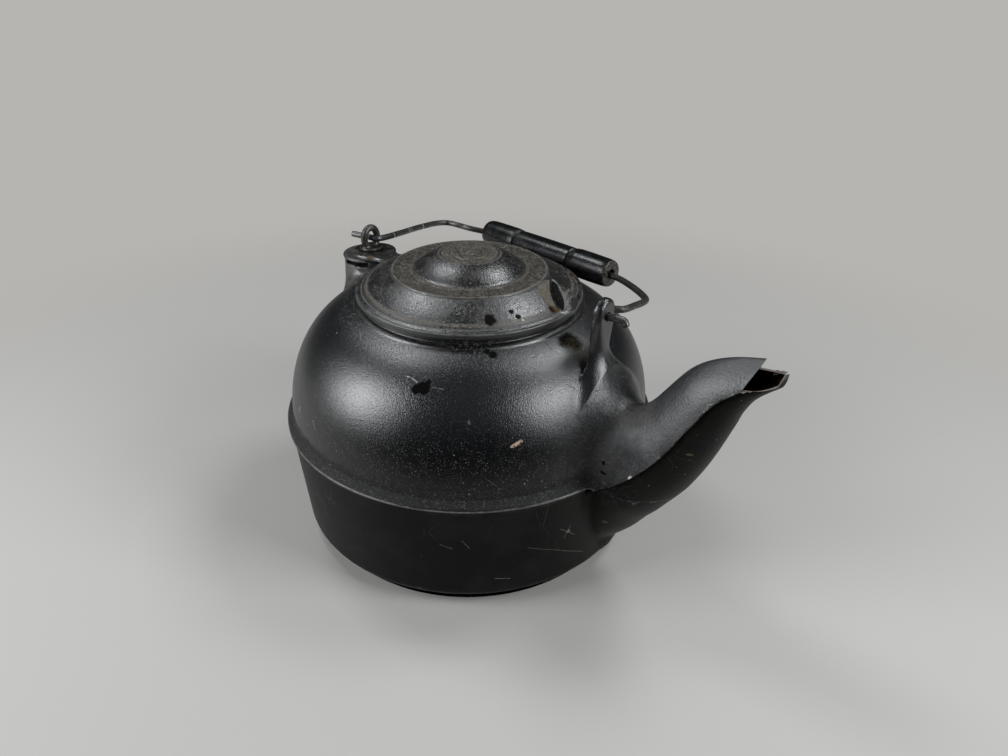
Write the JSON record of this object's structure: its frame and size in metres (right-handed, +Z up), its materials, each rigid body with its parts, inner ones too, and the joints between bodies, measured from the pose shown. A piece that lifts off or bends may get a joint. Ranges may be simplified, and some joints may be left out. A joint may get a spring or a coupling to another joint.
{
  "type": "cast iron tea kettle",
  "caption": "Round black cast iron tea kettle with a gooseneck spout, a domed lid that swings aside on an eye bolt, and a wire bail with a turned grip.",
  "frame": {"origin": "on the round body's axis, in the plane that the foot stands on", "axes": "+X from the rear post towards the spout, +Z up, +Y to the side that the bail droops to"},
  "size_m": [0.335, 0.25, 0.1918],
  "materials": {
    "body_iron": "old black, worn satin with dust, rust specks and scratches",
    "lid_iron": "old black, matte with a grey-brown film",
    "bolt_steel": "dark oxidised steel",
    "nut_steel": "dark oxidised steel",
    "bail_steel": "black wire with pale scratches",
    "grip_wood": "black lacquered, glossy"
  },
  "bodies": {
    "base": {"body_pan": "body_iron", "body_globe": "body_iron", "spout_upper": "body_iron", "spout_lower": "body_iron", "rear_post": "body_iron", "front_ear": "body_iron", "eye_bolt": "bolt_steel", "eye_bolt_nut": "nut_steel"},
    "lid": {"lid": "lid_iron"},
    "bail": {"bail_wire": "bail_steel"},
    "grip": {"grip": "grip_wood"}
  },
  "joints": [
    {"name": "lid_swing", "type": "hinge", "parent": "base", "child": "lid", "pos_m": [-0.095, 0, 0.168], "axis": [0, 0, 1], "range_deg": [-150, 0]},
    {"name": "bail_swing", "type": "hinge", "parent": "base", "child": "bail", "pos_m": [0, 0, 0.1782], "axis": [1, 0, 0], "range_deg": [0, 194]},
    {"name": "grip_spin", "type": "hinge", "parent": "bail", "child": "grip", "pos_m": [-0.00076, 0.08387, 0.1679], "axis": [0.9923, -0.1226, 0.0151], "continuous": true}
  ]
}
